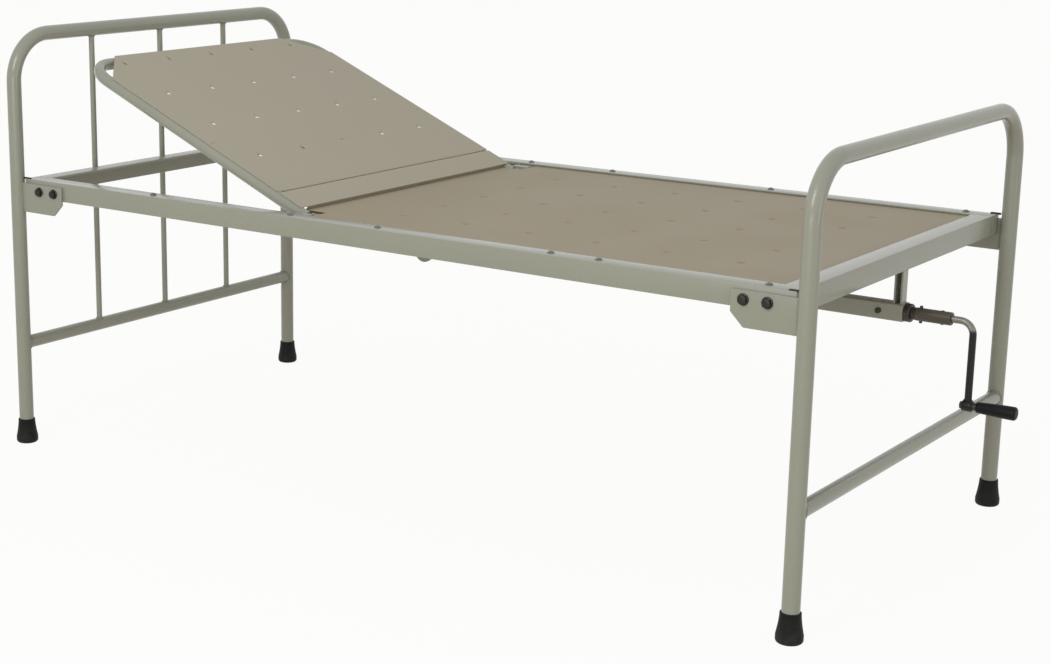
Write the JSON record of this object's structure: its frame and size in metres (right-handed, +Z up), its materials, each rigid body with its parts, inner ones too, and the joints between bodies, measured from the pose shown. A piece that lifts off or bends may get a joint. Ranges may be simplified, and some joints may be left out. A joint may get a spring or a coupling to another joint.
{
  "type": "hospital bed",
  "caption": "Ward bed of bent painted tube with a perforated sheet deck, a hinged backrest raised by a screw and a hand crank at the foot end, and rubber feet.",
  "frame": {"origin": "on the floor under the middle of the whole bed, crank included", "axes": "+X along the bed to the foot end and the crank, +Y to the far side, +Z up"},
  "size_m": [2.09, 0.962, 0.9259],
  "materials": {
    "frame_paint": "satin",
    "sheet_paint": "satin",
    "rubber_black": "matte",
    "bolt_steel": "satin",
    "bush_plastic": "matte",
    "crank_steel": "satin",
    "nut_brass": "satin",
    "grip_plastic": "satin"
  },
  "bodies": {
    "frame": {"head_bow_tube": "frame_paint", "foot_bow_tube": "frame_paint", "head_lower_rail": "frame_paint", "foot_lower_rail": "frame_paint", "head_bar_1": "frame_paint", "head_bar_2": "frame_paint", "head_bar_3": "frame_paint", "ferrule_head_near": "rubber_black", "ferrule_head_far": "rubber_black", "ferrule_foot_near": "rubber_black", "ferrule_foot_far": "rubber_black", "gusset_head_near": "frame_paint", "gusset_head_far": "frame_paint", "gusset_foot_near": "frame_paint", "gusset_foot_far": "frame_paint", "side_rail_near": "frame_paint", "side_rail_far": "frame_paint", "head_cross_angle": "frame_paint", "foot_cross_angle": "frame_paint", "deck_sheet": "sheet_paint", "hinge_support": "frame_paint", "drive_support": "frame_paint", "deck_support_1": "frame_paint", "deck_support_2": "frame_paint", "deck_support_3": "frame_paint", "hinge_bracket_near": "frame_paint", "hinge_bracket_far": "frame_paint", "hinge_pins": "bolt_steel", "backrest_rest_near": "frame_paint", "backrest_rest_far": "frame_paint", "rest_pads": "rubber_black", "foot_hanger": "frame_paint", "drive_hanger": "frame_paint", "drive_channel": "frame_paint", "channel_end_plate": "frame_paint", "channel_studs": "bolt_steel", "gusset_bolts": "bolt_steel", "gusset_nuts": "bolt_steel", "flange_bolts": "bolt_steel", "flange_nuts": "bolt_steel"},
    "backrest": {"backrest_frame_tube": "frame_paint", "backrest_hinge_tube": "frame_paint", "backrest_stiffener": "frame_paint", "backrest_sheet": "sheet_paint", "backrest_hinge_strip": "sheet_paint", "hinge_bushes": "bush_plastic", "lever_plate_near": "frame_paint", "lever_plate_far": "frame_paint"},
    "drive": {"nut_block": "nut_brass", "push_tube": "crank_steel", "lever_pin": "crank_steel"},
    "crank": {"screw_shaft": "crank_steel", "thrust_ring": "crank_steel", "thrust_collar": "crank_steel", "coupling_sleeve": "crank_steel", "crank_cross_pins": "crank_steel", "crank_rod": "crank_steel", "crank_eye": "crank_steel", "grip_pin": "crank_steel"},
    "grip": {"hand_grip": "grip_plastic"}
  },
  "joints": [
    {"name": "backrest_raise", "type": "hinge", "parent": "frame", "child": "backrest", "pos_m": [-0.263, 0, 0.581], "axis": [0, 1, 0], "range_deg": [-23, 47]},
    {"name": "nut_travel", "type": "slide", "parent": "frame", "child": "drive", "axis": [1, 0, 0], "range_m": [-0.088, 0.043]},
    {"name": "crank_turn", "type": "hinge", "parent": "frame", "child": "crank", "pos_m": [0.956, 0, 0.485], "axis": [1, 0, 0], "range_deg": [-3930, 1925]},
    {"name": "grip_spin", "type": "hinge", "parent": "crank", "child": "grip", "pos_m": [0.973, 0, 0.331], "axis": [1, 0, 0], "continuous": true}
  ],
  "couplings": [
    {"joint": "nut_travel", "follows": "backrest_raise", "m_per_rad": -0.10637},
    {"joint": "crank_turn", "follows": "backrest_raise", "ratio": -83.54}
  ]
}
